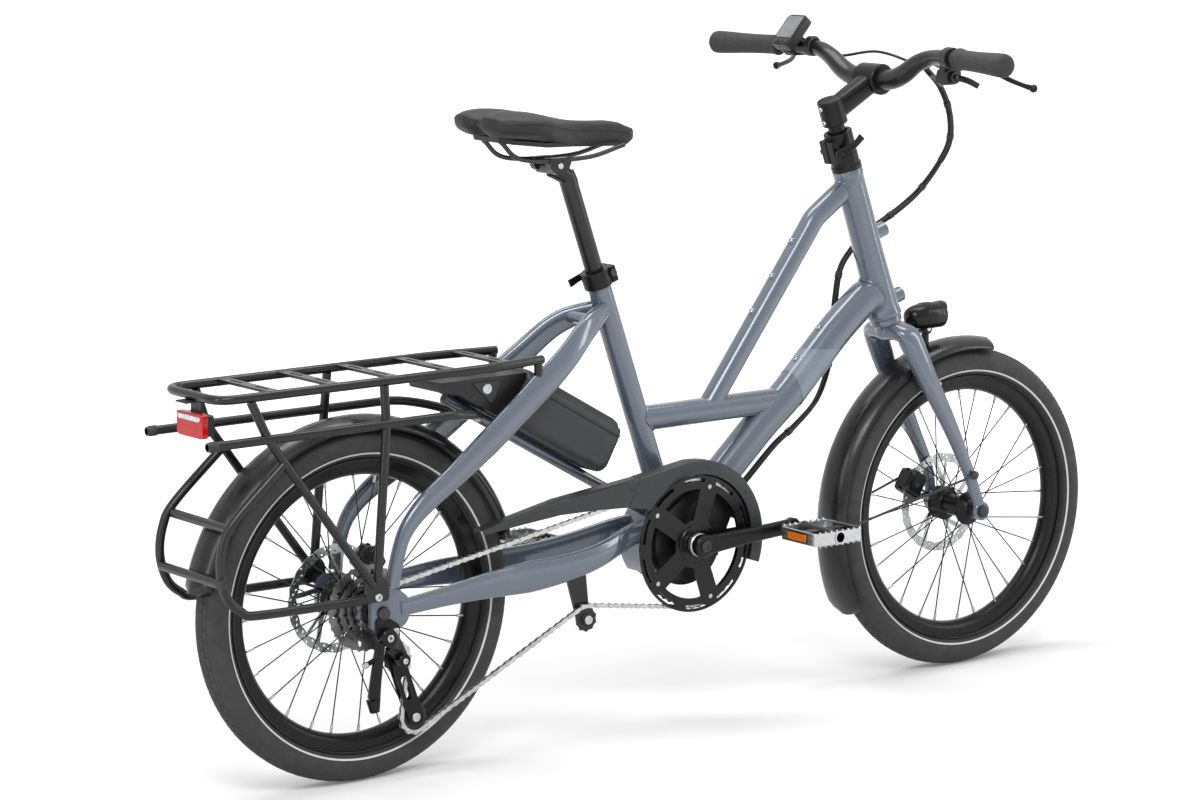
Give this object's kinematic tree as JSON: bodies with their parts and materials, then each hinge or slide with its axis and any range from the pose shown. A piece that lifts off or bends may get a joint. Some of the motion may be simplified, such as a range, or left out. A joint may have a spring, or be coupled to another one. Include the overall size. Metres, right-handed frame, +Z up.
{
  "type": "longtail cargo bike",
  "caption": "Compact longtail electric cargo bike with small wheels, low step-through frame, rear rack, fenders, lights and a battery behind the seat tube.",
  "frame": {"origin": "on the ground, below the centre of the whole bike's bounding box", "axes": "+X forward, the way the bike rides; +Y to the rider's left; +Z up"},
  "size_m": [1.677, 0.702, 1.0406],
  "materials": {
    "frame_paint": "satin blue-grey paint",
    "black_paint": "satin black powder coat",
    "black_alloy": "black anodised",
    "bare_alloy": "brushed",
    "steel": "brushed",
    "dark_steel": "dark, lightly oiled",
    "moulded_black": "fine moulded grain",
    "moulded_grey": "fine moulded grain",
    "tyre_rubber": "black with a pale reflective line",
    "grip_rubber": "ribbed",
    "cable_jacket": "smooth jacket",
    "saddle_cover": "grained cover",
    "red_lens": "clear red",
    "fender_plastic": "satin black"
  },
  "bodies": {
    "frame": {"head_and_down_tube": "frame_paint", "top_tube": "frame_paint", "seat_tube": "frame_paint", "seat_stays": "frame_paint", "chain_stays": "frame_paint", "battery_rail": "frame_paint", "battery_holder": "moulded_grey", "battery": "moulded_grey", "motor": "moulded_black", "chain_case": "moulded_grey", "chain": "steel", "rack_deck": "black_paint", "rack_left_side": "black_paint", "rack_right_side": "black_paint", "tail_light": "red_lens", "rear_fender": "fender_plastic", "rear_caliper": "black_alloy", "derailleur": "black_alloy", "rear_axle": "dark_steel", "seat_clamp": "black_alloy", "frame_cables": "cable_jacket", "control_cables": "cable_jacket"},
    "rear_wheel": {"rear_hub": "black_alloy", "rear_rim": "black_alloy", "rear_tyre": "tyre_rubber", "rear_rotor": "steel"},
    "cassette_cluster": {"cassette": "steel"},
    "upper_pulley": {"guide_pulley": "moulded_black"},
    "lower_pulley": {"tension_pulley": "moulded_black"},
    "idler": {"idler_roller": "moulded_black"},
    "crankset": {"chainring": "dark_steel", "right_crank": "black_alloy", "left_crank": "black_alloy"},
    "pedal_right": {"right_pedal": "bare_alloy"},
    "pedal_left": {"left_pedal": "bare_alloy"},
    "fork_assembly": {"fork": "frame_paint", "front_fender": "fender_plastic", "headlight": "moulded_black", "front_caliper": "black_alloy", "front_axle": "dark_steel", "post_clamp": "black_alloy"},
    "front_wheel": {"front_hub": "black_alloy", "front_rim": "black_alloy", "front_tyre": "tyre_rubber", "front_rotor": "steel"},
    "bars": {"stem": "black_alloy", "handlebar": "black_alloy", "left_grip": "grip_rubber", "right_grip": "grip_rubber", "left_brake_mount": "moulded_black", "right_brake_mount": "moulded_black", "display": "moulded_black"},
    "bar_clamp_lever": {"post_lever": "black_alloy"},
    "seat_clamp_lever": {"seat_lever": "black_alloy"},
    "brake_lever_left": {"left_brake_lever": "black_alloy"},
    "brake_lever_right": {"right_brake_lever": "black_alloy"},
    "shifter_lever": {"shift_lever": "moulded_black"},
    "seat": {"seatpost": "black_paint", "saddle": "saddle_cover"}
  },
  "joints": [
    {"name": "rear_wheel_spin", "type": "hinge", "parent": "frame", "child": "rear_wheel", "pos_m": [-0.5575, 0, 0.256], "axis": [0, 1, 0], "continuous": true},
    {"name": "crank_spin", "type": "hinge", "parent": "frame", "child": "crankset", "pos_m": [0.0085, 0, 0.279], "axis": [0, 1, 0], "continuous": true},
    {"name": "cassette_spin", "type": "hinge", "parent": "frame", "child": "cassette_cluster", "pos_m": [-0.5575, 0, 0.256], "axis": [0, 1, 0], "continuous": true},
    {"name": "guide_pulley_spin", "type": "hinge", "parent": "frame", "child": "upper_pulley", "pos_m": [-0.5235, 0, 0.182], "axis": [0, 1, 0], "continuous": true},
    {"name": "tension_pulley_spin", "type": "hinge", "parent": "frame", "child": "lower_pulley", "pos_m": [-0.4935, 0, 0.0915], "axis": [0, 1, 0], "continuous": true},
    {"name": "idler_spin", "type": "hinge", "parent": "frame", "child": "idler", "pos_m": [-0.1885, 0, 0.19], "axis": [0, 1, 0], "continuous": true},
    {"name": "right_pedal_spin", "type": "hinge", "parent": "crankset", "child": "pedal_right", "pos_m": [0.17827, 0, 0.2879], "axis": [0, 1, 0], "continuous": true},
    {"name": "left_pedal_spin", "type": "hinge", "parent": "crankset", "child": "pedal_left", "pos_m": [-0.16127, 0, 0.2701], "axis": [0, 1, 0], "continuous": true},
    {"name": "steering", "type": "hinge", "parent": "frame", "child": "fork_assembly", "pos_m": [0.53624, 0, 0.256], "axis": [-0.309, 0, 0.9511], "range_deg": [-60, 60], "deforming": ["control_cables"]},
    {"name": "front_wheel_spin", "type": "hinge", "parent": "fork_assembly", "child": "front_wheel", "pos_m": [0.5825, 0, 0.256], "axis": [0, 1, 0], "continuous": true},
    {"name": "bar_height", "type": "slide", "parent": "fork_assembly", "child": "bars", "axis": [-0.309, 0, 0.9511], "range_m": [0, 0.08], "deforming": ["control_cables"]},
    {"name": "bar_clamp_lever_turn", "type": "hinge", "parent": "fork_assembly", "child": "bar_clamp_lever", "pos_m": [0.32296, -0.0218, 0.8412], "axis": [0.309, 0, -0.9511], "range_deg": [0, 110]},
    {"name": "seat_clamp_lever_turn", "type": "hinge", "parent": "frame", "child": "seat_clamp_lever", "pos_m": [-0.10774, 0.0238, 0.69486], "axis": [0.3165, 0, -0.9486], "range_deg": [0, 110]},
    {"name": "left_brake_pull", "type": "hinge", "parent": "bars", "child": "brake_lever_left", "pos_m": [0.4241, 0.202, 0.98399], "axis": [0, 0, 1], "range_deg": [0, 20], "stiffness_Nm_per_rad": 0.8, "springref_deg": -11.46},
    {"name": "right_brake_pull", "type": "hinge", "parent": "bars", "child": "brake_lever_right", "pos_m": [0.4241, -0.202, 0.98399], "axis": [0, 0, -1], "range_deg": [0, 20], "stiffness_Nm_per_rad": 0.8, "springref_deg": -11.46},
    {"name": "shift_press", "type": "hinge", "parent": "bars", "child": "shifter_lever", "pos_m": [0.41675, -0.164, 0.96125], "axis": [0, 1, 0], "range_deg": [0, 20], "stiffness_Nm_per_rad": 0.5, "springref_deg": -11.46},
    {"name": "seat_height", "type": "slide", "parent": "frame", "child": "seat", "axis": [-0.3165, 0, 0.9486], "range_m": [-0.1, 0.05]}
  ],
  "couplings": [
    {"joint": "cassette_spin", "follows": "crank_spin", "ratio": 3.6923},
    {"joint": "guide_pulley_spin", "follows": "crank_spin", "ratio": -4.3636},
    {"joint": "tension_pulley_spin", "follows": "crank_spin", "ratio": 4.3636},
    {"joint": "idler_spin", "follows": "crank_spin", "ratio": -4.8}
  ]
}
